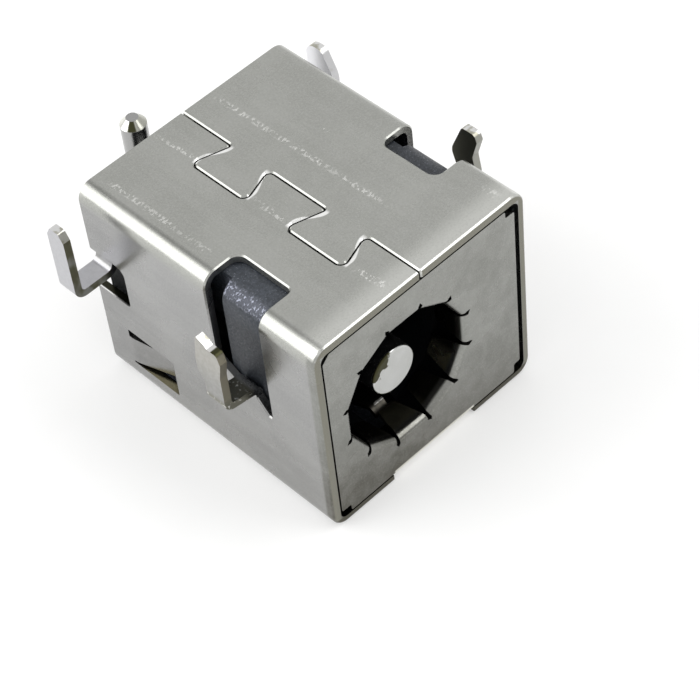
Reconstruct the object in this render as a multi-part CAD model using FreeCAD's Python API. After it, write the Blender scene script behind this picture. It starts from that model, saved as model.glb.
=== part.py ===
import FreeCAD, Part
import math
import os

from FreeCAD import Vector

# Shielded dc power jack for a board cut-out, in millimetres.
# X is across the jack, Y runs from the plug face (-Y) to the rear (+Y), Z points the way the legs point.
# The origin is the middle of the flat panel opposite the seam, which the jack stands on.

# Folded shield
shield_width = 9.6
shield_length = 11.2
shield_height = 8.85
sheet = 0.3
fold_inner = 0.3
shear_roll = 0.12
seam_bevel = 0.05

# Dovetail seam in the middle of the seamed panel
seam_gap = 0.05
tongue_reach = 1.48
tongue_pitch = 4.53
tongue_tip_width = 2.64
tongue_neck_width = 1.7
tongue_tip_radius = 0.22
tongue_root_radius = 0.25
tongue_tight_radius = 0.13

# Plug face, folded up from the bottom panel
face_gap = 0.07
face_gap_right = 0.2
face_strip_width = 3.8
face_strip_relief = 0.1
face_notch_width = 0.42
face_notch_height = 0.3
face_notch_radius = 0.08

# Star hole with its ring of bent petals. They are pressed thinner than the sheet,
# and the sheet is torn a little further out between them.
socket_x = -0.9
socket_z = 4.5
petal_count = 12
star_radius = 2.93
petal_sheet = 0.2
petal_slit = 0.2
petal_bend_inner = 0.05
petal_depth = 1.35
petal_tip_width = 0.72
petal_tip_radius = 0.12
tear_radius = 3.07
tear_lean = 0.05

# Side slots that the front legs are cut from. The right one is shallower on top.
slot_inset = 2.53
slot_length = 2.5
slot_wall_corner = 0.25
slot_relief_depth = 0.55
slot_relief_width = 0.16
left_slot_reach = 1.58
left_slot_rear_corner = 0.4
left_slot_front_corner = 0.22
right_slot_reach = 1.5
right_slot_rear_corner = 0.3
right_slot_front_corner = 0.42

# Front legs, a bent strip that ends in a head kinked to snap into the board
front_leg_inset = 0.65
front_leg_width = 0.86
front_leg_reach = 1.3
front_leg_level = 4.73
front_leg_rise = 0.22
head_rear_bulge = 0.26
head_front_bulge = 0.13
head_radius = 0.3

# Left head, its heights measured down from the tip: a low point at the rear and a round shoulder in front
left_head_tip = 7.93
left_bulge_start = 2.15
left_bulge_low = 1.75
left_bulge_high = 1.15
left_point_step = 0.08
left_point_width = 0.37
left_point_drop = 0.15
left_point_radius = 0.05
left_shoulder_gap = 0.12
left_shoulder_top = 0.28
left_shoulder_low = 0.68
left_head_neck = 1.4

# Right head, its heights measured down from the tip: an oval that narrows to a waist below it
right_head_tip = 8.5
right_bulge_start = 2.05
right_bulge_peak = 1.3
right_point_step = 0.3
right_front_step = 0.02
right_front_peak = 0.3
right_waist = 0.12
right_waist_drop = 1.1
right_head_neck = 1.8
right_head_radius = 0.18

# Rear notches and rear legs: the left one is narrow with cut corners, the right one broad and round
notch_length = 1.7
notch_bottom = 4.17
notch_corner = 0.35
rear_leg_level = 5.61
left_rear_leg_inset = 0.3
left_rear_leg_width = 0.83
left_rear_leg_reach = 1.65
left_rear_leg_tip = 8.6
left_tip_corner = 0.2
left_tip_corner_height = 0.35
left_tip_radius = 0.06
right_rear_leg_inset = 0.22
right_rear_leg_width = 1.28
right_rear_leg_reach = 1.0
right_rear_leg_tip = 8.38
right_tip_slope = 0.48
right_tip_slope_height = 0.95
right_tip_radius = 0.5
right_tip_slope_radius = 0.9
leg_bend_inner = 0.15
leg_root_inner = 0.25

# Lanced tabs that lock the housing
window_inset = 1.2
window_length = 2.35
window_bottom = 0.97
window_top = 2.7
window_corner = 0.05
tab_top = 2.36
tab_length = 1.72
tab_push = 0.38
tab_slit = 0.08
tab_hinge = 0.15
tab_bend_inner = 0.8
tab_draft = 0.15
tab_corner = 0.12

# The plug's sleeve, which the bore takes with a clearance all round
plug_radius = 2.75
plug_clearance = 0.1

# Moulded housing. Its bore and the pin sit a little off the star hole's centre.
housing_clearance = 0.05
housing_edge_radius = 0.75
housing_rear_inset = 0.3
housing_lead_in = 0.35
housing_waist = 0.55
bore_shift_x = -0.08
bore_shift_z = -0.08
collar_gap = 0.41
heel_gap = 0.4
tab_room = 0.1
mouth_clearance = 0.2
rear_wall = 1.4
pin_wall = 0.6
pin_clearance = 0.02
rear_pocket_radius = 2.4
rear_pocket_depth = 0.3

# Turned centre pin with its bent solder tail
pin_radius = 0.95
pin_recess = 0.63
pin_edge = 0.08
pin_shank_radius = 1.2
pin_shank_step = 0.25
pin_flange_radius = 1.45
pin_flange = 0.5
tail_radius = 0.48
tail_behind_shield = 1.65
tail_bend = 0.85
tail_tip = 8.3
tail_taper = 0.28
tail_tip_radius = 0.23

# Leaf spring under the plug's sleeve, tapered to its free end
spring_width = 1.2
spring_tip_width = 0.5
spring_sheet = 0.2
spring_crest = 0.25
spring_crest_from_face = 1.75
spring_curl = 0.3
spring_floor = 1.0
spring_reach = 5.55
spring_foot_length = 0.9
spring_rise = 2.6
spring_bend_inner = 0.15
spring_clearance = 0.1

# Points nearer than this are one point
same_point = 1e-6

# Values that follow from the sizes above
half_width = shield_width / 2
half_length = shield_length / 2
inner_half_width = half_width - sheet
inner_top = shield_height - sheet
fold_outer = fold_inner + sheet
face_back = -half_length + sheet
petal_angle = 360.0 / petal_count
petal_half_angle = math.radians(petal_angle / 2)
petal_fold = star_radius * math.cos(petal_half_angle) + petal_slit / 2 * math.sin(petal_half_angle)
petal_chord = 2 * star_radius * math.sin(petal_half_angle) - petal_slit * math.cos(petal_half_angle)
slot_front = -half_length + slot_inset
slot_rear = slot_front + slot_length
front_leg_front = slot_front + front_leg_inset
front_leg_rear = front_leg_front + front_leg_width
leg_root = front_leg_level + sheet / 2 + leg_root_inner
notch_front = half_length - notch_length
notch_top = rear_leg_level + sheet / 2 + leg_root_inner
window_rear = half_length - window_inset
window_front = window_rear - window_length
tab_bottom = window_bottom + tab_slit
housing_front = face_back + housing_clearance
housing_rear = half_length - housing_rear_inset
housing_half_width = inner_half_width - housing_clearance
housing_bottom = sheet + housing_clearance
housing_top = inner_top - housing_clearance
collar_rear = slot_rear - collar_gap
heel_front = notch_front - heel_gap
bore_x = socket_x + bore_shift_x
bore_z = socket_z + bore_shift_z
bore_radius = plug_radius + plug_clearance
bore_end = housing_rear - rear_wall
bore_bottom = bore_z - bore_radius
mouth_radius = tear_radius + mouth_clearance
mouth_rear = -half_length + petal_depth + mouth_clearance
flange_front = bore_end + pin_wall
crest_y = -half_length + spring_crest_from_face
spring_foot_front = crest_y + spring_reach
# Depth that cuts through one sheet from a sheet's thickness before it to one beyond
through = 3 * sheet
LEFT, RIGHT = -1, 1


def on_xy(z):
    return lambda u, v: Vector(u, v, z)


def on_xz(y):
    return lambda u, v: Vector(u, y, v)


def on_yz(x):
    return lambda u, v: Vector(x, u, v)


def outline(corners, place):
    """Closed wire through (u, v, radius) corners, each corner rounded by its radius."""
    spans = []
    count = len(corners)
    for i in range(count):
        before = Vector(*corners[i - 1][:2], 0)
        corner = Vector(*corners[i][:2], 0)
        after = Vector(*corners[(i + 1) % count][:2], 0)
        radius = corners[i][2]
        if radius == 0:
            spans.append((corner, corner, corner))
            continue
        back = (before - corner).normalize()
        ahead = (after - corner).normalize()
        half_angle = back.getAngle(ahead) / 2
        cut_back = radius / math.tan(half_angle)
        centre = corner + (back + ahead).normalize() * (radius / math.sin(half_angle))
        middle = centre + (corner - centre).normalize() * radius
        spans.append((corner + back * cut_back, middle, corner + ahead * cut_back))
    edges = []
    for i in range(count):
        start, middle, end = spans[i]
        if corners[i][2] > 0:
            edges.append(Part.Arc(place(start.x, start.y), place(middle.x, middle.y),
                                  place(end.x, end.y)).toShape())
        leave = place(end.x, end.y)
        reach = place(spans[(i + 1) % count][0].x, spans[(i + 1) % count][0].y)
        if leave.distanceToPoint(reach) > same_point:
            edges.append(Part.makeLine(leave, reach))
    return Part.Wire(edges)


def plate(corners, place, direction):
    return Part.Face(outline(corners, place)).extrude(direction)


def box(low, high):
    size = Vector(*high) - Vector(*low)
    return Part.makeBox(size.x, size.y, size.z, Vector(*low))


def rounded_box(low, high, radius):
    """Box whose four edges along Y are rounded."""
    corners = [(low[0], low[2], radius), (high[0], low[2], radius),
               (high[0], high[2], radius), (low[0], high[2], radius)]
    return plate(corners, on_xz(low[1]), Vector(0, high[1] - low[1], 0))


def bent_strip(path, thickness, inner_radii, place, width):
    """Strip of sheet whose middle line is path, bent at each inner corner, extruded by width."""
    points = [Vector(u, v, 0) for u, v in path]
    left, right = [], []
    for i, point in enumerate(points):
        if i == 0 or i == len(points) - 1:
            run = (points[1] - points[0]) if i == 0 else (points[-1] - points[-2])
            run.normalize()
            side = Vector(-run.y, run.x, 0) * (thickness / 2)
            left.append((point.x + side.x, point.y + side.y, 0))
            right.append((point.x - side.x, point.y - side.y, 0))
            continue
        before = (point - points[i - 1]).normalize()
        after = (points[i + 1] - point).normalize()
        turn = before.x * after.y - before.y * after.x
        normal = (Vector(-before.y, before.x, 0) + Vector(-after.y, after.x, 0)).normalize()
        reach = thickness / 2 / normal.dot(Vector(-before.y, before.x, 0))
        inner = inner_radii[i - 1]
        outer = inner + thickness
        left_radius, right_radius = (inner, outer) if turn > 0 else (outer, inner)
        left.append((point.x + normal.x * reach, point.y + normal.y * reach, left_radius))
        right.append((point.x - normal.x * reach, point.y - normal.y * reach, right_radius))
    return plate(left + right[::-1], place, width)


def wrap():
    """Bottom, walls and seamed panel: one sheet folded round the housing, open at both ends."""
    outer = rounded_box((-half_width, -half_length, 0), (half_width, half_length, shield_height),
                        fold_outer)
    rim = [edge for edge in outer.Edges if edge.BoundBox.YMax < -half_length + shear_roll]
    outer = outer.makeFillet(shear_roll, rim)
    inner = rounded_box((-inner_half_width, -half_length - sheet, sheet),
                        (inner_half_width, half_length + sheet, inner_top), fold_inner)
    return outer.cut(inner)


def seam_cut():
    """Thin gap along the dovetail seam, with two tongues that lock the panel's halves."""
    beyond = half_length + 2 * sheet
    corners = [(shield_width, beyond, 0), (0, beyond, 0)]
    for centre in (tongue_pitch / 2, -tongue_pitch / 2):
        neck, tip = tongue_neck_width / 2, tongue_tip_width / 2
        corners += [(0, centre + neck, tongue_tight_radius),
                    (-tongue_reach, centre + tip, tongue_tip_radius),
                    (-tongue_reach, centre - tip, tongue_tip_radius),
                    (0, centre - neck, tongue_root_radius)]
    corners += [(0, -beyond, 0), (shield_width, -beyond, 0)]
    half = Part.Face(outline(corners, on_xy(inner_top - sheet)))
    band = half.makeOffset2D(seam_gap).cut(half)
    return band.extrude(Vector(0, 0, through))


def slot_cut(side, reach, rear_corner, front_corner):
    """Opening left in wall and seamed panel where a front leg was cut out."""
    beyond = side * (half_width + sheet)
    inner = side * (half_width - reach)
    on_top = plate([(beyond, slot_rear, 0), (inner, slot_rear, rear_corner),
                    (inner, slot_front, front_corner), (beyond, slot_front, 0)],
                   on_xy(leg_root), Vector(0, 0, shield_height))
    neck = front_leg_level - sheet
    relief_bottom = neck - slot_relief_depth
    relief_radius = slot_relief_width / 3
    wall_top = shield_height - fold_outer
    wall = plate([(slot_rear, wall_top, 0), (slot_front, wall_top, 0),
                  (slot_front, relief_bottom, relief_radius),
                  (slot_front + slot_relief_width, relief_bottom, relief_radius),
                  (front_leg_front, neck, 0), (front_leg_rear, neck, 0),
                  (slot_rear, neck + slot_relief_depth, slot_wall_corner)],
                 on_yz(side * (inner_half_width - sheet)), Vector(side * through, 0, 0))
    return on_top.fuse(wall)


def front_leg(side, head):
    """Strip bent out of the wall and up again, ending in a head kinked to snap into the board."""
    middle = side * (half_width - sheet / 2)
    reach = side * (half_width + front_leg_reach - sheet / 2)
    neck = front_leg_level + front_leg_rise + sheet / 2 + leg_bend_inner + sheet
    path = [(middle, front_leg_level - sheet), (middle, front_leg_level),
            (reach, front_leg_level + front_leg_rise), (reach, neck)]
    strip = bent_strip(path, sheet, [leg_root_inner - sheet / 2, leg_bend_inner],
                       on_xz(front_leg_front), Vector(0, front_leg_width, 0))
    blade = plate([(front_leg_rear, neck, 0)] + head + [(front_leg_front, neck, 0)],
                  on_yz(side * (half_width + front_leg_reach)), Vector(-side * sheet, 0, 0))
    return strip.fuse(blade)


def left_head():
    """Outline from the strip's rear edge round the tip to its front edge."""
    tip = left_head_tip
    rear = front_leg_rear + head_rear_bulge
    point_rear = front_leg_rear + left_point_step
    point_front = point_rear - left_point_width
    return [(front_leg_rear, tip - left_bulge_start, left_point_radius),
            (rear, tip - left_bulge_low, left_point_radius),
            (rear, tip - left_bulge_high, head_radius),
            (point_rear, tip, left_point_radius),
            (point_front, tip - left_point_drop, left_point_radius),
            (point_front - left_shoulder_gap, tip - left_shoulder_top, left_point_radius),
            (front_leg_front, tip - left_shoulder_top, head_radius / 2),
            (front_leg_front - head_front_bulge, tip - left_shoulder_low, head_radius / 2),
            (front_leg_front, tip - left_head_neck, head_radius)]


def right_head():
    """Outline from the strip's rear edge round the tip to its front edge."""
    tip = right_head_tip
    return [(front_leg_rear, tip - right_bulge_start, head_radius),
            (front_leg_rear + head_rear_bulge, tip - right_bulge_peak, 2 * head_radius),
            (front_leg_rear - right_point_step, tip, right_head_radius),
            (front_leg_front - right_front_step, tip, right_head_radius),
            (front_leg_front - head_front_bulge, tip - right_front_peak, right_head_radius),
            (front_leg_front + right_waist, tip - right_waist_drop, head_radius),
            (front_leg_front, tip - right_head_neck, head_radius)]


def rear_notch_cut(side):
    """Notch in the wall's rear edge, under the rear leg's root."""
    beyond = half_length + sheet
    return plate([(beyond, notch_bottom, 0), (notch_front, notch_bottom, notch_corner / 2),
                  (notch_front, notch_top, notch_corner), (beyond, notch_top, 0)],
                 on_yz(side * (inner_half_width - sheet)), Vector(side * through, 0, 0))


def rear_leg(side, front, rear, reach, tip_outline):
    """Strip bent out of the wall above the notch and up again."""
    middle = side * (half_width - sheet / 2)
    out = side * (half_width + reach - sheet / 2)
    neck = rear_leg_level + sheet / 2 + leg_bend_inner + sheet
    strip = bent_strip([(middle, notch_top), (middle, rear_leg_level), (out, rear_leg_level), (out, neck)],
                       sheet, [leg_root_inner, leg_bend_inner], on_xz(front), Vector(0, rear - front, 0))
    blade = plate([(rear, neck, 0)] + tip_outline + [(front, neck, 0)],
                  on_yz(side * (half_width + reach)), Vector(-side * sheet, 0, 0))
    return strip.fuse(blade)


def left_rear_leg():
    rear = half_length - left_rear_leg_inset
    front = rear - left_rear_leg_width
    tip = left_rear_leg_tip
    shoulder = tip - left_tip_corner_height
    return rear_leg(LEFT, front, rear, left_rear_leg_reach,
                    [(rear, shoulder, left_tip_radius), (rear - left_tip_corner, tip, left_tip_radius),
                     (front + left_tip_corner, tip, left_tip_radius), (front, shoulder, left_tip_radius)])


def right_rear_leg():
    rear = half_length - right_rear_leg_inset
    front = rear - right_rear_leg_width
    tip = right_rear_leg_tip
    return rear_leg(RIGHT, front, rear, right_rear_leg_reach,
                    [(rear, tip, right_tip_radius), (front + right_tip_slope, tip, right_tip_radius / 2),
                     (front, tip - right_tip_slope_height, right_tip_slope_radius)])


def window_cut(side):
    """Window pierced round a lanced tab."""
    soft = window_corner
    return plate([(window_front, window_bottom, soft), (window_rear, window_bottom, 0),
                  (window_rear, window_top, soft), (window_front, window_top, soft)],
                 on_yz(side * (inner_half_width - sheet)), Vector(side * through, 0, 0))


def lanced_tab(side):
    """Tab hinged at the window's rear edge, its free end pushed inwards behind the housing's rail."""
    middle = side * (half_width - sheet / 2)
    end = side * (half_width - sheet / 2 - tab_push)
    bend = window_rear - tab_hinge
    front = window_rear - tab_length - tab_slit
    strip = bent_strip([(middle, window_rear), (middle, bend), (end, window_rear - tab_length)],
                       sheet, [tab_bend_inner], on_xy(tab_bottom), Vector(0, 0, tab_top - tab_bottom))
    drafted = plate([(window_rear, tab_bottom, 0), (window_rear, tab_top, 0),
                     (front, tab_top - tab_draft, tab_corner), (front, tab_bottom + tab_draft, tab_corner)],
                    on_yz(side * (half_width + sheet)), Vector(-side * (through + tab_push), 0, 0))
    return strip.common(drafted)


def plug_face():
    """Face folded up from the bottom panel, with the star hole cut in it."""
    left = -inner_half_width + face_gap
    right = inner_half_width - face_gap_right
    low = sheet + face_gap
    high = inner_top - face_gap
    notch_w, notch_h, soft = face_notch_width, face_notch_height, face_notch_radius
    corners = [(left + notch_w, low, soft), (left + notch_w, low + notch_h, soft),
               (left, low + notch_h, soft), (left, high - notch_h, soft), (left + notch_h, high, soft),
               (right - notch_w, high, soft), (right - notch_w, high - notch_h, soft),
               (right, high - notch_h, soft), (right, low + notch_w, soft),
               (right - notch_h, low + notch_w, soft), (right - notch_h, low, soft)]
    face = plate(corners, on_xz(-half_length), Vector(0, sheet, 0))
    strip = bent_strip([(-half_length + 2 * fold_outer, sheet / 2), (-half_length + sheet / 2, sheet / 2),
                        (-half_length + sheet / 2, low + face_notch_height)],
                       sheet, [fold_inner], on_yz(-face_strip_width / 2), Vector(face_strip_width, 0, 0))
    return face.fuse(strip)


def strip_cut():
    """Room in the bottom panel for the strip that carries the plug face."""
    reach = face_strip_width / 2 + face_strip_relief
    return box((-reach, -half_length - sheet, -sheet), (reach, -half_length + fold_outer, 2 * sheet))


def star_cut():
    """Hole in the plug face with a side for each petal, torn further out at the corners between them."""
    centre = Vector(socket_x, socket_z, 0)
    corners = []
    for i in range(petal_count):
        angle = math.radians((i + 0.5) * petal_angle)
        outward = Vector(math.cos(angle), math.sin(angle), 0)
        along = Vector(-outward.y, outward.x, 0)
        root = centre + outward * star_radius
        tear = centre + outward * tear_radius + along * tear_lean
        for point in (root - along * (petal_slit / 2), tear, root + along * (petal_slit / 2)):
            corners.append((point.x, point.y, 0))
    return plate(corners, on_xz(-half_length - sheet), Vector(0, through, 0))


def petal():
    """One petal at angle zero: bent inwards off the hole's side and tapered to its tip."""
    turn = petal_fold - petal_bend_inner - petal_sheet / 2
    front = -half_length + petal_sheet / 2
    strip = bent_strip([(petal_fold, front), (turn, front), (turn, -half_length + petal_depth)],
                       petal_sheet, [petal_bend_inner], on_xy(-petal_chord / 2), Vector(0, 0, petal_chord))
    taper = plate([(-half_length, -petal_chord / 2, 0), (-half_length, petal_chord / 2, 0),
                   (-half_length + petal_depth, petal_tip_width / 2, petal_tip_radius),
                   (-half_length + petal_depth, -petal_tip_width / 2, petal_tip_radius)],
                  on_yz(0), Vector(star_radius + sheet, 0, 0))
    return strip.common(taper)


def petals():
    ring = []
    for i in range(petal_count):
        leaf = petal()
        leaf.rotate(Vector(0, 0, 0), Vector(0, 1, 0), -i * petal_angle)
        leaf.translate(Vector(socket_x, 0, socket_z))
        ring.append(leaf)
    return ring


def shield():
    """The whole folded sheet: box, plug face with petals, tabs and legs."""
    body = wrap().cut(strip_cut()).cut(seam_cut())
    body = body.cut(slot_cut(LEFT, left_slot_reach, left_slot_rear_corner, left_slot_front_corner))
    body = body.cut(slot_cut(RIGHT, right_slot_reach, right_slot_rear_corner, right_slot_front_corner))
    added = [plug_face().cut(star_cut())] + petals() + [left_rear_leg(), right_rear_leg()]
    for side, head in ((LEFT, left_head()), (RIGHT, right_head())):
        body = body.cut(rear_notch_cut(side)).cut(window_cut(side))
        added += [lanced_tab(side), front_leg(side, head)]
    whole = body.fuse(added).removeSplitter()
    return whole.makeChamfer(seam_bevel, [edge for edge in whole.Edges if sheared(edge)])


def sheared(edge):
    """True for an edge that the seam or a slot leaves in the seamed panel's outer face."""
    points = edge.discretize(3)
    middle = points[1]
    in_face = min(point.z for point in points) > shield_height - same_point
    between_folds = abs(middle.x) < half_width - fold_outer - same_point
    between_rims = abs(middle.y) < half_length - shear_roll - same_point
    return in_face and between_folds and between_rims


def housing():
    """Moulded block with the plug bore, a full-width collar in front and a slimmer body behind."""
    low = (-housing_half_width, housing_front, housing_bottom)
    high = (housing_half_width, housing_rear, housing_top)
    block = rounded_box(low, high, housing_edge_radius)
    lead_in = plate([(housing_front, housing_bottom, 0), (housing_front, housing_bottom + housing_lead_in, 0),
                     (housing_front + housing_lead_in, housing_bottom, 0)],
                    on_yz(-housing_half_width), Vector(2 * housing_half_width, 0, 0))
    block = block.cut(lead_in)
    rail_end = window_rear - tab_length - tab_slit
    low, high = tab_bottom - tab_room, tab_top + tab_room
    beyond = housing_rear + sheet
    for side in (LEFT, RIGHT):
        outer = side * (housing_half_width + sheet)
        waist = side * (housing_half_width - housing_waist)
        behind_tab = side * (inner_half_width - tab_push - sheet - housing_clearance)
        block = block.cut(side_box(waist, outer, collar_rear, heel_front, high, shield_height))
        block = block.cut(side_box(behind_tab, outer, rail_end, beyond, low, high))
    mouth = socket_hole(mouth_radius, -half_length, mouth_rear)
    bore = socket_hole(bore_radius, -half_length, bore_end)
    shank_hole = socket_hole(pin_shank_radius + pin_clearance, -half_length, beyond)
    flange_hole = socket_hole(pin_flange_radius + pin_clearance, flange_front, beyond)
    pocket = socket_hole(rear_pocket_radius, housing_rear - rear_pocket_depth, beyond)
    return block.cut([mouth, bore, shank_hole, flange_hole, pocket, spring_room()])


def side_box(x_a, x_b, y_low, y_high, z_low, z_high):
    """Box between two X values given in either order, so that one call serves both sides."""
    return box((min(x_a, x_b), y_low, z_low), (max(x_a, x_b), y_high, z_high))


def socket_hole(radius, front, rear):
    """Round hole on the bore's axis."""
    return Part.makeCylinder(radius, rear - front, Vector(bore_x, front, bore_z), Vector(0, 1, 0))


def spring_room():
    """Slot under the bore for the leaf spring, open to the bottom panel at the spring's foot."""
    side = spring_width / 2 + spring_clearance
    rear = spring_foot_front + spring_foot_length + spring_clearance
    slot = box((bore_x - side, mouth_rear - sheet, spring_floor), (bore_x + side, rear, bore_z))
    foot = box((bore_x - side, spring_foot_front - spring_sheet - spring_clearance, 0),
               (bore_x + side, rear, bore_z))
    return slot.fuse(foot)


def sleeve_spring():
    """Leaf spring that presses on the plug's sleeve and stands on the shield's bottom panel."""
    foot = sheet + spring_sheet / 2
    leaf = spring_floor + spring_sheet / 2
    crest_z = bore_bottom + spring_crest
    path = [(spring_foot_front + spring_foot_length, foot), (spring_foot_front, foot),
            (spring_foot_front, leaf), (crest_y + spring_rise, leaf), (crest_y, crest_z),
            (crest_y - spring_curl, crest_z - spring_curl)]
    bends = [spring_bend_inner] * (len(path) - 2)
    left, right = bore_x - spring_width / 2, bore_x + spring_width / 2
    strip = bent_strip(path, spring_sheet, bends, on_yz(left), Vector(spring_width, 0, 0))
    leaf_rear = crest_y + spring_rise
    tip_front = crest_y - 2 * spring_curl
    tapered = plate([(left, half_length, 0), (left, leaf_rear, 0),
                     (bore_x - spring_tip_width / 2, tip_front, 0),
                     (bore_x + spring_tip_width / 2, tip_front, 0),
                     (right, leaf_rear, 0), (right, half_length, 0)], on_xy(0), Vector(0, 0, bore_z))
    return strip.common(tapered)


def centre_pin():
    """Turned pin with a flange in the housing's rear wall, its thin tail bent up behind the jack."""
    front = -half_length + pin_recess
    tail_y = half_length + tail_behind_shield
    shank_front = bore_end - pin_shank_step
    flange_end = flange_front + pin_flange
    profile = outline([(0, front, 0), (pin_radius, front, pin_edge), (pin_radius, shank_front, 0),
                       (pin_shank_radius, shank_front, 0), (pin_shank_radius, flange_front, 0),
                       (pin_flange_radius, flange_front, 0), (pin_flange_radius, flange_end, 0),
                       (tail_radius, flange_end, 0), (tail_radius, tail_y - tail_bend, 0),
                       (0, tail_y - tail_bend, 0)], on_xy(0))
    turned = Part.Face(profile).revolve(Vector(0, 0, 0), Vector(0, 1, 0), 360)
    turned.translate(Vector(bore_x, 0, bore_z))
    bend_axis = Vector(bore_x, tail_y - tail_bend, bore_z + tail_bend)
    section = Part.Wire(Part.makeCircle(tail_radius, Vector(bore_x, tail_y - tail_bend, bore_z),
                                        Vector(0, 1, 0)))
    bend = Part.Face(section).revolve(bend_axis, Vector(1, 0, 0), 90)
    upright = outline([(0, bore_z + tail_bend, 0), (tail_radius, bore_z + tail_bend, 0),
                       (tail_radius, tail_tip - tail_taper, 0), (tail_tip_radius, tail_tip, 0),
                       (0, tail_tip, 0)], on_xz(0))
    upright = Part.Face(upright).revolve(Vector(0, 0, 0), Vector(0, 0, 1), 360)
    upright.translate(Vector(bore_x, tail_y, 0))
    return turned.fuse([bend, upright]).removeSplitter()


PIECES = {
    "shield": shield,
    "housing": housing,
    "centre_pin": centre_pin,
    "sleeve_spring": sleeve_spring,
}


def main():
    os.makedirs("parts", exist_ok=True)
    for name, make in PIECES.items():
        solid = make()
        print(name, len(solid.Solids), "solid, valid:", solid.isValid(), "volume:", round(solid.Volume, 3))
        solid.exportStep("parts/" + name + ".step")


main()
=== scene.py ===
import math

import bpy
from mathutils import Matrix, Vector


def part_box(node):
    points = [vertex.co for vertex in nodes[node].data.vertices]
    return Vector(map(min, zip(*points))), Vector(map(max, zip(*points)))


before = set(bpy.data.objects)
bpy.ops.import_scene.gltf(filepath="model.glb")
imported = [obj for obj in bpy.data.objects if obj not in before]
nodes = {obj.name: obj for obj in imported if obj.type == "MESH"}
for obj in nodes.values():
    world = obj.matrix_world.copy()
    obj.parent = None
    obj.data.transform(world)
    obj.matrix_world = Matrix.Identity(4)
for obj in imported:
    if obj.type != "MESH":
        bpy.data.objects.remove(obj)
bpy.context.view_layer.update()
scene = bpy.context.scene
MM = 0.001

# Places on the jack in millimetres, read off the solids where they have them
SHIELD_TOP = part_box("shield")[1].z / MM
PLUG_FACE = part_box("shield")[0].y / MM
HOUSING_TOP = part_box("housing")[1].z / MM
PIN_LOW, PIN_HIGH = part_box("centre_pin")
PIN_END = PIN_LOW.y / MM
BORE_X = (PIN_LOW.x + PIN_HIGH.x) / 2 / MM
BORE_Z = 4.42
BORE_REACH = 3.3
STAR_REACH = 3.2
WALL = 4.8
STRIP_REACH = 1.9
NOTCH_FRONT = 3.9
NOTCH_EDGE = 4.17
WINDOW_SILL = 0.97
# Centre of the painted glint on the spring's crest, in millimetres
SPRING_CREST_X, SPRING_CREST_Y = -0.78, -3.88


class Tree:
    """Short calls for building a node tree."""

    def __init__(self, tree):
        self.nodes, self.links = tree.nodes, tree.links
        self.nodes.clear()

    def add(self, kind, inputs=None, **settings):
        node = self.nodes.new(kind)
        for key, value in settings.items():
            setattr(node, key, value)
        for key, value in (inputs or {}).items():
            if isinstance(value, bpy.types.NodeSocket):
                self.links.new(value, node.inputs[key])
            else:
                node.inputs[key].default_value = value
        return node

    def split(self, vector):
        return self.add("ShaderNodeSeparateXYZ", {"Vector": vector}).outputs

    def math(self, operation, *terms, clamp=False):
        return self.add("ShaderNodeMath", dict(enumerate(terms)), operation=operation,
                        use_clamp=clamp).outputs[0]

    def chain(self, operation, terms):
        result = terms[0]
        for term in terms[1:]:
            result = self.math(operation, result, term)
        return result

    def plus(self, *terms):
        return self.chain("ADD", terms)

    def times(self, *factors):
        return self.chain("MULTIPLY", factors)

    def either(self, *masks):
        return self.chain("MAXIMUM", masks)

    def away(self, value, middle):
        return self.math("ABSOLUTE", self.math("SUBTRACT", value, middle))

    def ramp(self, value, low, high, to_low=0.0, to_high=1.0):
        """Value eased from to_low to to_high between low and high, which may run downwards."""
        if low > high:
            low, high, to_low, to_high = high, low, to_high, to_low
        return self.add("ShaderNodeMapRange", {"Value": value, "From Min": low, "From Max": high,
                                               "To Min": to_low, "To Max": to_high},
                        interpolation_type="SMOOTHSTEP").outputs["Result"]

    def band(self, value, middle, reach, core):
        """1 where a value is within core of the middle, eased to 0 at reach."""
        return self.ramp(self.away(value, middle), reach, core)


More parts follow.
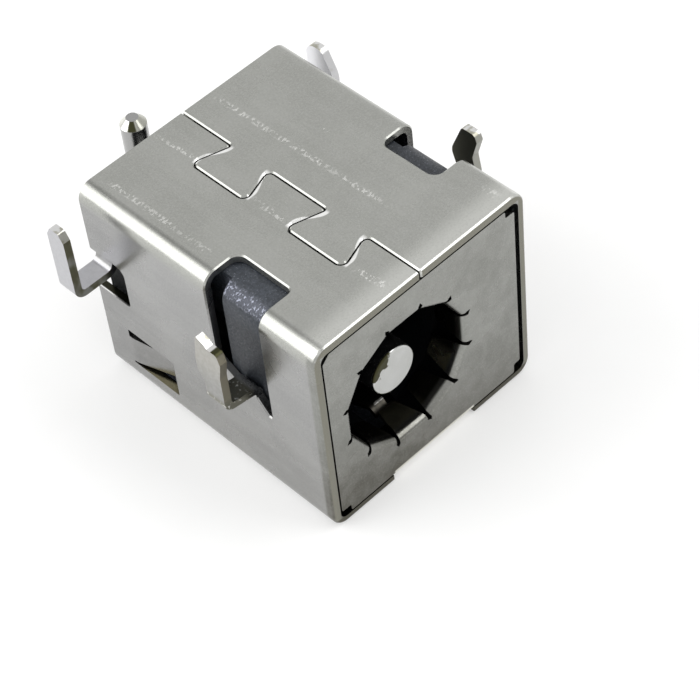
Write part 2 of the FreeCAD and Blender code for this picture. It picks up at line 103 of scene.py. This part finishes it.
class Surface(Tree):
    """One material's node tree, with the object's own coordinates in millimetres."""

    def __init__(self, name):
        self.material = bpy.data.materials.new(name)
        self.material.use_nodes = True
        super().__init__(self.material.node_tree)
        coords = self.add("ShaderNodeTexCoord").outputs
        self.point = self.scaled(coords["Object"], (1 / MM,) * 3)
        self.x, self.y, self.z = self.split(self.point)
        self.face_x, self.face_y, self.face_z = self.split(coords["Normal"])

    def scaled(self, vector, scale):
        return self.add("ShaderNodeMapping", {"Vector": vector, "Scale": scale}).outputs[0]

    def stretched(self, scale):
        return self.scaled(self.point, scale)

    def noise(self, vector, scale, detail=3.0, roughness=0.5):
        return self.add("ShaderNodeTexNoise", {"Vector": vector, "Scale": scale, "Detail": detail,
                                               "Roughness": roughness}).outputs["Fac"]

    def mix(self, factor, a, b):
        """Colour from a to b, which the node takes at inputs 6 and 7 and gives at output 2."""
        return self.add("ShaderNodeMix", {0: factor, 6: a, 7: b}, data_type="RGBA").outputs[2]

    def layered(self, color, *layers):
        """Base colour under layers, each a mask and the colour that it lets through."""
        for mask, over in layers:
            color = self.mix(mask, color, over)
        return color

    def from_middle(self):
        """Distance from the plane midway between the walls."""
        return self.math("ABSOLUTE", self.x)

    def from_bore(self):
        """Distance from the bore's axis."""
        off_x = self.math("SUBTRACT", self.x, BORE_X)
        off_z = self.math("SUBTRACT", self.z, BORE_Z)
        return self.math("SQRT", self.plus(self.times(off_x, off_x), self.times(off_z, off_z)))

    def stroke(self, start, end, width):
        """1 inside a narrow stroke between two points of the XY plane, along Y, soft at its rim."""
        lean = (end[0] - start[0]) / (end[1] - start[1])
        line = self.math("MULTIPLY_ADD", self.y, lean, start[0] - lean * start[1])
        low, high = sorted((start[1], end[1]))
        soft = min(0.25, (high - low) / 3)
        return self.times(self.band(self.x, line, width, width * 0.4),
                          self.ramp(self.y, low - soft, low + soft),
                          self.ramp(self.y, high + soft, high - soft))

    def bump(self, height, distance, below=None):
        inputs = {"Strength": 1.0, "Distance": distance * MM, "Height": height}
        if below is not None:
            inputs["Normal"] = below
        return self.add("ShaderNodeBump", inputs).outputs[0]

    def principled(self, color, roughness, normal, **others):
        """The material with one Principled shader."""
        inputs = {"Base Color": color, "Roughness": roughness, "Normal": normal}
        inputs.update({key.replace("_", " "): value for key, value in others.items()})
        return self.output(self.add("ShaderNodeBsdfPrincipled", inputs))

    def output(self, shader):
        self.add("ShaderNodeOutputMaterial", {"Surface": shader.outputs[0]})
        return self.material


def paint(name, material):
    mesh = nodes[name].data
    mesh.materials.clear()
    mesh.materials.append(material)
    for polygon in mesh.polygons:
        polygon.use_smooth = True


def on_seamed_panel(g):
    return g.ramp(g.z, SHIELD_TOP - 0.12, SHIELD_TOP - 0.04)


# Rows of small rub marks on the seamed panel: start, end and half width in millimetres
RUB_MARKS = (
    ((1.22, 5.21), (1.38, -2.75), 0.16),
    ((-1.39, 5.43), (-1.25, 3.58), 0.12),
    ((-1.28, 0.77), (-1.28, -0.69), 0.18),
    ((-1.28, -4.03), (-1.17, -5.25), 0.2),
    ((-3.87, 4.9), (-3.84, 0.1), 0.16),
    ((2.52, 1.42), (2.51, 1.13), 0.05),
    ((4.0, -4.6), (3.99, -5.2), 0.2),
)


def rub_marks(g):
    """Small bright dents in rows, where the panel was gripped while it was formed."""
    rows = g.either(*[g.stroke(*mark) for mark in RUB_MARKS])
    dots = g.ramp(g.noise(g.stretched((1, 1.4, 1)), 7.5, 2.0), 0.5, 0.62)
    patchy = g.ramp(g.noise(g.point, 0.9, 1.0), 0.3, 0.6, 0.45, 1.0)
    return g.times(rows, dots, patchy, on_seamed_panel(g))


# Y of each rolled flank of the dovetail tongues, at the tongue's neck and at its tip, and the X
# of neck and tip, in millimetres
ROLLED_FLANKS = ((3.08, 3.5), (1.33, 0.95), (-1.48, -0.98), (-3.18, -3.6))
FLANK_NECK, FLANK_TIP = -0.15, -1.15
FLANK_REACH, FLANK_CORE = 0.105, 0.06


def flank_highlights(g):
    """Painted highlights in bands along the tongues' flanks, where the sheared edge is rolled down
    and shines.
    """
    bands = []
    for neck, tip in ROLLED_FLANKS:
        line = g.ramp(g.x, FLANK_NECK, FLANK_TIP, neck, tip)
        bands.append(g.band(g.y, line, FLANK_REACH, FLANK_CORE))
    ends = g.times(g.ramp(g.x, FLANK_TIP - 0.33, FLANK_TIP - 0.2),
                   g.ramp(g.x, FLANK_NECK + 0.15, FLANK_NECK))
    uneven = g.ramp(g.noise(g.point, 3.0, 2.0), 0.3, 0.5, 0.7, 1.0)
    return g.times(g.either(*bands), ends, uneven, on_seamed_panel(g))


# Colours of the sheet, broad surfaces first
PANEL = (0.40, 0.405, 0.378, 1)
WALL_SHADE_HIGH = (0.34, 0.34, 0.338, 1)
WALL_SHADE_LOW = (0.28, 0.278, 0.27, 1)
WALL_REAR = (0.235, 0.235, 0.235, 1)
FRONT_MARGIN_HIGHLIGHT = (0.60, 0.605, 0.57, 1)
FACE_SHADE_HIGH = (0.237, 0.24, 0.222, 1)
FACE_SHADE_LOW = (0.076, 0.071, 0.054, 1)
CLOUD = (0.65, 0.65, 0.63, 1)
STREAK = (0.7, 0.7, 0.68, 1)
LIGHT_GRAIN = (0.85, 0.85, 0.82, 1)
DARK_GRAIN = (0.12, 0.12, 0.11, 1)
RUBBED = (0.78, 0.78, 0.75, 1)
# Painted highlight, on the tongues' flanks and on the outer edge of the notch's foot
EDGE_HIGHLIGHT = (1, 1, 0.98, 1)
SHEARED_RIM_SHADE = (0.21, 0.205, 0.17, 1)
FOOT_SHADE = (0.075, 0.07, 0.05, 1)
STRIP_HIGHLIGHT = (0.75, 0.74, 0.68, 1)
NOTCH_SHADE = (0.03, 0.03, 0.02, 1)
NOTCH_SIDE_SHADE = (0.025, 0.025, 0.035, 1)
SILL_STAIN = (0.17, 0.155, 0.10, 1)
PETAL_SHADE = (0.05, 0.049, 0.038, 1)
PETAL_LIT = (0.66, 0.63, 0.45, 1)


def broad_tint(g):
    """Pale seamed panel, walls painted greyer and a plug face painted darker towards its lower
    left, both as painted shade, and a front margin painted paler as a painted highlight.
    """
    on_walls = g.ramp(g.z, SHIELD_TOP - 0.3, SHIELD_TOP - 0.9)
    # Walls painted darker than the panel as painted shade, darker still towards the bottom; they
    # also darken towards the rear
    wall = g.layered(WALL_SHADE_HIGH, (g.ramp(g.z, 6.5, 0.5), WALL_SHADE_LOW),
                     (g.ramp(g.y, 2.0, 5.5, to_high=0.7), WALL_REAR))
    # Front margin of the panel painted paler, a painted highlight
    on_margin = g.times(g.ramp(g.y, PLUG_FACE + 1.2, PLUG_FACE + 0.25),
                        g.ramp(g.z, SHIELD_TOP - 0.2, SHIELD_TOP - 0.1))
    # Plug face painted darker than the panel as painted shade, darkest at its lower left
    on_face = g.times(g.ramp(g.z, SHIELD_TOP - 0.28, SHIELD_TOP - 0.36),
                      g.ramp(g.y, PLUG_FACE + 0.42, PLUG_FACE + 0.25))
    face = g.mix(g.ramp(g.plus(g.z, g.times(g.x, 0.22)), 4.6, -0.8), FACE_SHADE_HIGH, FACE_SHADE_LOW)
    return g.layered(PANEL, (on_walls, wall), (on_margin, FRONT_MARGIN_HIGHLIGHT), (on_face, face))


def petal_tint(g):
    """Petals inside the star hole painted dark as painted shade, and paler as painted light on the
    side that the light reaches.
    """
    off_z = g.math("SUBTRACT", g.z, BORE_Z)
    right = g.times(g.ramp(g.x, BORE_X + 1.9, BORE_X + 2.2), g.ramp(off_z, -0.9, -1.2))
    lit = g.either(right, g.ramp(off_z, -2.3, -2.7))
    patchy = g.ramp(g.noise(g.point, 2.0, 3.0), 0.35, 0.65, 0.6, 1.0)
    return g.mix(g.times(lit, patchy), PETAL_SHADE, PETAL_LIT)


def edge_layers(g):
    """Layers for the front rims, the plug face's foot, the petals, and notch and window edges, most
    of them painted shade and painted highlights.
    """
    wide = g.from_middle()
    in_wall = g.ramp(wide, WALL - 0.36, WALL - 0.32)

    # Painted shade on the sheared rims that face the front
    facing_front = g.times(g.ramp(g.face_y, -0.7, -0.92),
                           g.ramp(g.y, PLUG_FACE + 0.08, PLUG_FACE + 0.03))
    at_rim = g.either(g.ramp(wide, WALL - 0.31, WALL - 0.27),
                      g.ramp(g.z, SHIELD_TOP - 0.33, SHIELD_TOP - 0.29))

    ahead = g.ramp(g.y, PLUG_FACE + 0.5, PLUG_FACE + 0.3)
    foot = g.times(ahead, g.ramp(g.z, 0.42, 0.32))
    # Painted highlight along the fold strip at the foot of the plug face
    on_strip = g.times(ahead, g.ramp(wide, STRIP_REACH + 0.08, STRIP_REACH), g.ramp(g.z, 0.5, 0.44))

    in_star = g.times(g.ramp(g.from_bore(), STAR_REACH, STAR_REACH - 0.1),
                      g.ramp(g.y, PLUG_FACE + 0.28, PLUG_FACE + 0.5))

    # Painted shade on the notch's foot, with a painted highlight along its outer edge
    notch_foot = g.times(g.ramp(g.y, NOTCH_FRONT - 0.2, NOTCH_FRONT - 0.05),
                         g.band(g.z, NOTCH_EDGE, 0.12, 0.06), g.ramp(g.face_z, 0.6, 0.9), in_wall)
    notch_tint = g.mix(g.ramp(wide, WALL - 0.06, WALL - 0.04), NOTCH_SHADE, EDGE_HIGHLIGHT)
    # Painted shade on the notch's side that faces the rear
    notch_side = g.times(in_wall, g.ramp(g.z, NOTCH_EDGE - 0.07, NOTCH_EDGE + 0.03),
                         g.ramp(g.y, NOTCH_FRONT - 0.2, NOTCH_FRONT - 0.1),
                         g.ramp(g.y, NOTCH_FRONT + 1.3, NOTCH_FRONT + 0.9),
                         g.ramp(g.face_y, 0.3, 0.7))
    sill = g.times(in_wall, g.band(g.z, WINDOW_SILL, 0.12, 0.06), g.ramp(g.face_z, 0.5, 0.8))

    return ((g.times(facing_front, at_rim), SHEARED_RIM_SHADE),
            (foot, FOOT_SHADE),
            (on_strip, STRIP_HIGHLIGHT),
            (in_star, petal_tint(g)),
            (notch_foot, notch_tint),
            (notch_side, NOTCH_SIDE_SHADE),
            (sill, SILL_STAIN))


# Colours of the legs, front heads first
HEAD_HIGH = (0.395, 0.385, 0.35, 1)
HEAD_LOW = (0.305, 0.302, 0.288, 1)
HEAD_INSIDE_SHADE = (0.11, 0.11, 0.08, 1)
HEAD_LEFT_EDGE = (0.26, 0.24, 0.185, 1)
HEAD_RIGHT_EDGE = (0.30, 0.30, 0.27, 1)
HEAD_SHADE = (0.21, 0.205, 0.165, 1)
HEAD_GLINT = (0.9, 0.89, 0.84, 1)
SHOULDER_DARK = (0.05, 0.05, 0.025, 1)
SHOULDER_OLIVE = (0.24, 0.225, 0.17, 1)
# Rear legs painted paler than the sheet, as painted light
REAR_LEFT = (0.49, 0.49, 0.51, 1)
REAR_RIGHT = (0.50, 0.50, 0.52, 1)
REAR_INSIDE_HIGHLIGHT = (0.86, 0.86, 0.885, 1)
REAR_LEFT_STAIN = (0.15, 0.145, 0.095, 1)
REAR_LEFT_EDGE = (0.34, 0.34, 0.31, 1)
REAR_RIGHT_EDGE = (0.55, 0.55, 0.56, 1)
SPARKLE = (0.75, 0.75, 0.77, 1)
TIP_HIGHLIGHT = (0.75, 0.75, 0.74, 1)
TIP_MARKED = (0.42, 0.41, 0.34, 1)

# Y where the left head's shoulder starts, and the height below which the front heads get painted
# shade
SHOULDER_START = -2.15
SHADE_TOP = 5.3


def leg_tint(g):
    """Legs with rear faces painted paler than the sheet as painted light, olive sheared edges,
    painted shade low on the front heads, painted highlight and shade on inner faces, and marked
    tips with a painted highlight.
    """
    right = g.ramp(g.x, -1.0, 1.0)
    left = g.math("SUBTRACT", 1.0, right)
    ahead = g.ramp(g.y, 0.5, -0.5)
    sparkle = g.noise(g.point, 7.0, 3.0, 0.6)

    head = g.mix(g.ramp(g.z, 7.2, 5.6), HEAD_HIGH, HEAD_LOW)
    faces = g.mix(ahead, g.mix(right, REAR_LEFT, REAR_RIGHT), head)
    # Painted highlight on the rear legs' inner faces and painted shade on the front heads' inner
    # faces
    facing_in = g.times(right, g.ramp(g.face_x, 0.2, -0.1))
    inside = g.mix(ahead, REAR_INSIDE_HIGHLIGHT, HEAD_INSIDE_SHADE)

    blotch = g.ramp(g.noise(g.stretched((1, 1, 0.6)), 1.6, 2.0), 0.45, 0.65)
    stained = g.mix(g.times(blotch, g.ramp(g.y, 0.0, 1.0)), REAR_LEFT_STAIN, REAR_LEFT_EDGE)
    left_edge = g.mix(ahead, stained, HEAD_LEFT_EDGE)
    right_edge = g.mix(ahead, REAR_RIGHT_EDGE, HEAD_RIGHT_EDGE)
    on_edge = g.ramp(g.math("ABSOLUTE", g.face_y), 0.6, 0.85)

    # Painted shade low on the front heads, with painted glints
    low_on_head = g.times(ahead, g.ramp(g.z, SHADE_TOP + 0.15, SHADE_TOP - 0.15))
    low_shade = g.mix(g.ramp(sparkle, 0.58, 0.66), HEAD_SHADE, HEAD_GLINT)

    # Painted highlight on the tips' upward faces, with marks
    on_tip = g.times(g.ramp(g.face_z, 0.35, 0.7), g.ramp(g.z, 7.0, 7.4))
    marked = g.mix(g.ramp(g.noise(g.point, 2.2, 2.0), 0.5, 0.6), TIP_HIGHLIGHT, TIP_MARKED)
    on_shoulder = g.times(ahead, left, g.ramp(g.y, SHOULDER_START + 0.03, SHOULDER_START - 0.03))
    shoulder = g.mix(g.ramp(g.y, SHOULDER_START - 0.25, SHOULDER_START - 0.35),
                     SHOULDER_DARK, SHOULDER_OLIVE)

    return g.layered(
        faces,
        (g.ramp(sparkle, 0.35, 0.65, to_high=0.12), SPARKLE),
        (facing_in, inside),
        (on_edge, g.mix(right, left_edge, right_edge)),
        (low_on_head, low_shade),
        (on_tip, g.mix(on_shoulder, marked, shoulder)))


def plated_sheet():
    """Nickel-plated sheet with rolling streaks, sandy grain, gentle waves and rub marks, and
    painted shade and highlights on its faces, edges and legs.
    """
    g = Surface("plated_sheet")
    cloud = g.noise(g.point, 0.45, 3.0, 0.55)
    streaks = g.noise(g.stretched((2.2, 0.12, 2.2)), 1.0, 4.0, 0.6)
    grain = g.noise(g.point, 15.0, 2.0, 0.6)
    marks = rub_marks(g)
    on_legs = g.ramp(g.from_middle(), WALL + 0.03, WALL + 0.2)
    color = g.layered(
        broad_tint(g),
        (g.ramp(cloud, 0.35, 0.65, to_high=0.12), CLOUD),
        (g.ramp(streaks, 0.35, 0.7, to_high=0.07), STREAK),
        (g.ramp(grain, 0.5, 0.7, to_high=0.08), LIGHT_GRAIN),
        (g.ramp(grain, 0.5, 0.3, to_high=0.1), DARK_GRAIN),
        (g.times(marks, 0.75), RUBBED),
        (flank_highlights(g), EDGE_HIGHLIGHT),
        *edge_layers(g),
        (on_legs, leg_tint(g)))
    rough = g.plus(g.ramp(cloud, 0.3, 0.7, 0.25, 0.29), g.times(g.plus(marks, on_legs), 0.05))
    waves = g.bump(g.noise(g.point, 0.28, 1.0), 0.02)
    fine = g.bump(g.plus(grain, g.times(streaks, 0.8)), 0.0006, below=waves)
    return g.principled(color, rough, g.bump(marks, 0.006, below=fine), Metallic=1.0)


# Colours of the pin
PIN_GREY = (0.53, 0.535, 0.52, 1)
PIN_PALE = (0.58, 0.585, 0.575, 1)
PIN_TAIL = (0.38, 0.38, 0.375, 1)
CONE_LEFT_HIGHLIGHT = (0.75, 0.75, 0.7, 1)
CONE_MIDDLE_SHADE = (0.06, 0.06, 0.03, 1)
CONE_RIGHT_HALF_SHADE = (0.45, 0.45, 0.4, 1)
PIN_END_SHADOW = (0.06, 0.058, 0.03, 1)

# Y where the pin's dull tail starts, and the height where the tail's cone starts
TAIL_START = 6.0
CONE_START = 8.0


def plated_pin():
    """Brighter turned nickel with fine rings, a painted shadow on the pin's end, a dull tail, and
    painted highlight and shade on the tail's cone.
    """
    g = Surface("plated_pin")
    rings = g.noise(g.stretched((0.4, 9.0, 0.4)), 1.0, 3.0, 0.6)
    cloud = g.noise(g.point, 1.4, 3.0)
    on_cone = g.times(g.ramp(g.z, CONE_START, CONE_START + 0.04), g.ramp(g.face_z, 0.9, 0.8))
    # The cone's facets painted by the way they face: a painted highlight on the left, painted shade
    # in the middle, half shade on the right
    around = g.math("SUBTRACT", g.face_x, g.face_y)
    cone = g.layered(CONE_LEFT_HIGHLIGHT, (g.ramp(around, -0.45, -0.3), CONE_MIDDLE_SHADE),
                     (g.ramp(around, 0.25, 0.4), CONE_RIGHT_HALF_SHADE))
    # Painted shadow on the upper left of the pin's end
    on_end = g.ramp(g.y, PIN_END + 0.12, PIN_END + 0.08)
    ragged = g.plus(g.math("SUBTRACT", g.z, g.x),
                    g.ramp(g.noise(g.point, 2.6, 3.0), 0.3, 0.7, -0.25, 0.25))
    end_shadow_edge = BORE_Z - BORE_X + 0.86
    end_shadow = g.times(on_end, g.ramp(ragged, end_shadow_edge, end_shadow_edge + 0.1))
    color = g.layered(
        PIN_GREY,
        (g.ramp(cloud, 0.35, 0.65), PIN_PALE),
        (g.ramp(g.y, TAIL_START - 0.2, TAIL_START + 0.2), PIN_TAIL),
        (on_cone, cone),
        (end_shadow, PIN_END_SHADOW))
    rough = g.plus(g.ramp(cloud, 0.3, 0.7, 0.2, 0.26), g.times(end_shadow, 0.2))
    return g.principled(color, rough, g.bump(rings, 0.002), Metallic=1.0)


# Colours of the leaf spring
BRONZE_SHADE = (0.045, 0.042, 0.036, 1)
BRONZE_SHADE_STREAK = (0.065, 0.06, 0.05, 1)
CREST_GLINT = (0.7, 0.69, 0.66, 1)


def spring_bronze():
    """Bronze leaf painted near black as painted shade, with streaks along its length and a painted
    glint across its crest.
    """
    g = Surface("spring_bronze")
    streaks = g.noise(g.stretched((6.0, 0.3, 1.0)), 1.0, 4.0, 0.6)
    cloud = g.noise(g.point, 1.2, 3.0)
    glint_band = g.times(g.band(g.y, SPRING_CREST_Y, 0.06, 0.03),
                     g.band(g.x, SPRING_CREST_X, 0.34, 0.26),
                     g.ramp(streaks, 0.3, 0.6, 0.7, 1.0))
    color = g.layered(BRONZE_SHADE, (g.ramp(streaks, 0.3, 0.7), BRONZE_SHADE_STREAK), (glint_band, CREST_GLINT))
    rough = g.ramp(cloud, 0.3, 0.7, 0.3, 0.38)
    return g.principled(color, rough, g.bump(streaks, 0.002), Metallic=1.0)


# Colours of the plastic
PLASTIC_DARK = (0.021, 0.026, 0.034, 1)
PLASTIC_PALE = (0.054, 0.063, 0.080, 1)
PLASTIC_CLOUD = (0.020, 0.024, 0.031, 1)
PLASTIC_SHADE = (0.004, 0.005, 0.006, 1)
PLASTIC_DEEP_SHADE = (0.004, 0.0045, 0.005, 1)
GLASS_FIBRE = (0.28, 0.30, 0.35, 1)
RIDGE_HIGHLIGHT = (0.13, 0.14, 0.18, 1)
RIDGE_GLINT = (0.58, 0.61, 0.74, 1)

# X plus Z along the housing's rounded ridge in the left slot
RIDGE_SUM = 4.05


def moulded_plastic():
    """Dark blue-grey glass-filled plastic, grainy, with painted shade that makes it near black
    inside the bore and at the rear, and a painted highlight along the ridge in the left slot.
    """
    g = Surface("moulded_plastic")
    grain = g.noise(g.point, 9.0, 5.0, 0.7)
    cloud = g.noise(g.point, 0.8, 3.0)
    fibres = g.ramp(g.noise(g.stretched((1.0, 1.7, 1.0)), 14.0, 2.0), 0.62, 0.70)
    shade = g.either(g.ramp(g.z, HOUSING_TOP - 0.9, HOUSING_TOP - 1.4), g.ramp(g.x, 2.0, 3.0))
    # Painted highlight and painted glints along the housing's rounded ridge in the left slot
    ridge = g.times(g.band(g.plus(g.x, g.z), RIDGE_SUM, 0.5, 0.15),
                    g.ramp(g.x, -3.5, -3.8), g.ramp(g.y, -0.5, -1.0))
    ridge_glints = g.times(ridge, g.ramp(g.noise(g.stretched((1.0, 1.3, 1.0)), 11.0, 2.0), 0.52, 0.62))
    # Painted shade inside the bore and at the rear
    deep_shade = g.either(g.ramp(g.from_bore(), BORE_REACH + 0.15, BORE_REACH), g.ramp(g.y, 3.2, 3.8))
    color = g.layered(
        PLASTIC_DARK,
        (g.ramp(grain, 0.35, 0.7), PLASTIC_PALE),
        (g.ramp(cloud, 0.35, 0.7, to_high=0.4), PLASTIC_CLOUD),
        (g.times(shade, 0.45), PLASTIC_SHADE),
        (g.times(fibres, 0.5), GLASS_FIBRE),
        (g.times(ridge, 0.5), RIDGE_HIGHLIGHT),
        (g.times(ridge_glints, 0.8), RIDGE_GLINT),
        (deep_shade, PLASTIC_DEEP_SHADE))
    rough = g.ramp(grain, 0.3, 0.7, 0.5, 0.38)
    shine = g.math("MULTIPLY_ADD", deep_shade, -0.45, 0.5)
    normal = g.bump(grain, 0.03, below=g.bump(ridge_glints, 0.03))
    return g.principled(color, rough, normal, Specular_IOR_Level=shine)


# Colours of the studio, and how strongly the floor glows
WHITE = (1, 1, 1, 1)
FLOOR_GREY = (0.66, 0.66, 0.655, 1)
FLOOR_PALE = (0.68, 0.68, 0.675, 1)
FLOOR_GLOW = 0.32


def white_floor():
    """Pale matt floor that shows white to the camera and in the metal, and keeps the shadow."""
    g = Surface("floor_white")
    paths = g.add("ShaderNodeLightPath").outputs
    seen = g.math("ADD", paths["Is Camera Ray"], paths["Is Glossy Ray"], clamp=True)
    seen = g.math("ADD", seen, paths["Is Transmission Ray"], clamp=True)
    color = g.mix(g.noise(g.point, 0.5, 2.0), FLOOR_GREY, FLOOR_PALE)
    matt = g.add("ShaderNodeBsdfDiffuse", {"Color": color})
    glow = g.add("ShaderNodeEmission", {"Color": WHITE, "Strength": g.times(seen, FLOOR_GLOW)})
    return g.output(g.add("ShaderNodeAddShader", {0: matt.outputs[0], 1: glow.outputs[0]}))


def floor():
    """Square floor a hundredth of a millimetre below the jack."""
    half = 0.6
    corners = [(-half, -half, 0), (half, -half, 0), (half, half, 0), (-half, half, 0)]
    mesh = bpy.data.meshes.new("floor")
    mesh.from_pydata(corners, [], [(0, 1, 2, 3)])
    plane = bpy.data.objects.new("floor", mesh)
    plane.location.z = -0.01 * MM
    mesh.materials.append(white_floor())
    scene.collection.objects.link(plane)


# X of the directions in which the studio is darkest
GAP_X = 0.12


def sky():
    """Even pale studio with one darker gap between the key light and the ceiling."""
    world = bpy.data.worlds.new("studio")
    scene.world = world
    world.use_nodes = True
    g = Tree(world.node_tree)
    across = g.split(g.add("ShaderNodeTexCoord").outputs["Generated"])[0]
    strength = g.ramp(g.away(across, GAP_X), 0.04, 0.14, 0.35, 0.85)
    background = g.add("ShaderNodeBackground", {"Color": WHITE, "Strength": strength})
    g.add("ShaderNodeOutputWorld", {"Surface": background.outputs[0]})


def place(thing, right, up, back, location):
    """Turn a lamp or camera to three unit axes, put it at a location and link it."""
    turn = Matrix((right, up, back)).transposed()
    thing.matrix_world = Matrix.Translation(location) @ turn.to_4x4()
    scene.collection.objects.link(thing)


# What the lamps face, and how far from it they stand, in metres
JACK_MIDDLE = Vector((0, 0, 4.4 * MM))
LAMP_DISTANCE = 0.35


def softbox(name, direction, along, width, height, radiance):
    """Area lamp that faces the jack, its height along a given direction, sizes in metres."""
    data = bpy.data.lights.new(name, "AREA")
    data.shape = "RECTANGLE"
    data.size, data.size_y = width, height
    data.energy = radiance * math.pi * width * height
    out = Vector(direction).normalized()
    side = Vector(along).cross(out).normalized()
    location = JACK_MIDDLE + out * LAMP_DISTANCE
    place(bpy.data.objects.new(name, data), side, out.cross(side), out, location)


def camera():
    """Camera fitted to the shield's edges in the photograph."""
    view = bpy.data.objects.new("camera", bpy.data.cameras.new("camera"))
    view.data.sensor_width = 36
    view.data.lens = 119.93
    view.data.clip_start = 0.005
    place(view, Vector((0.70609, -0.70365, -0.07946)), Vector((0.57112, 0.49955, 0.65136)),
          Vector((-0.41864, -0.50530, 0.75460)), Vector((-33.667, -42.301, 62.727)) * MM)
    scene.camera = view


paint("shield", plated_sheet())
paint("centre_pin", plated_pin())
paint("sleeve_spring", spring_bronze())
paint("housing", moulded_plastic())
floor()
sky()
softbox("key", (-0.67, 0.505, 0.545), (0, 0, 1), 0.30, 0.34, 2.08)
softbox("fill", (0.42, -0.42, 0.80), (0, -0.9, -0.44), 0.13, 0.40, 2.4)
camera()
scene.view_settings.view_transform = "Standard"
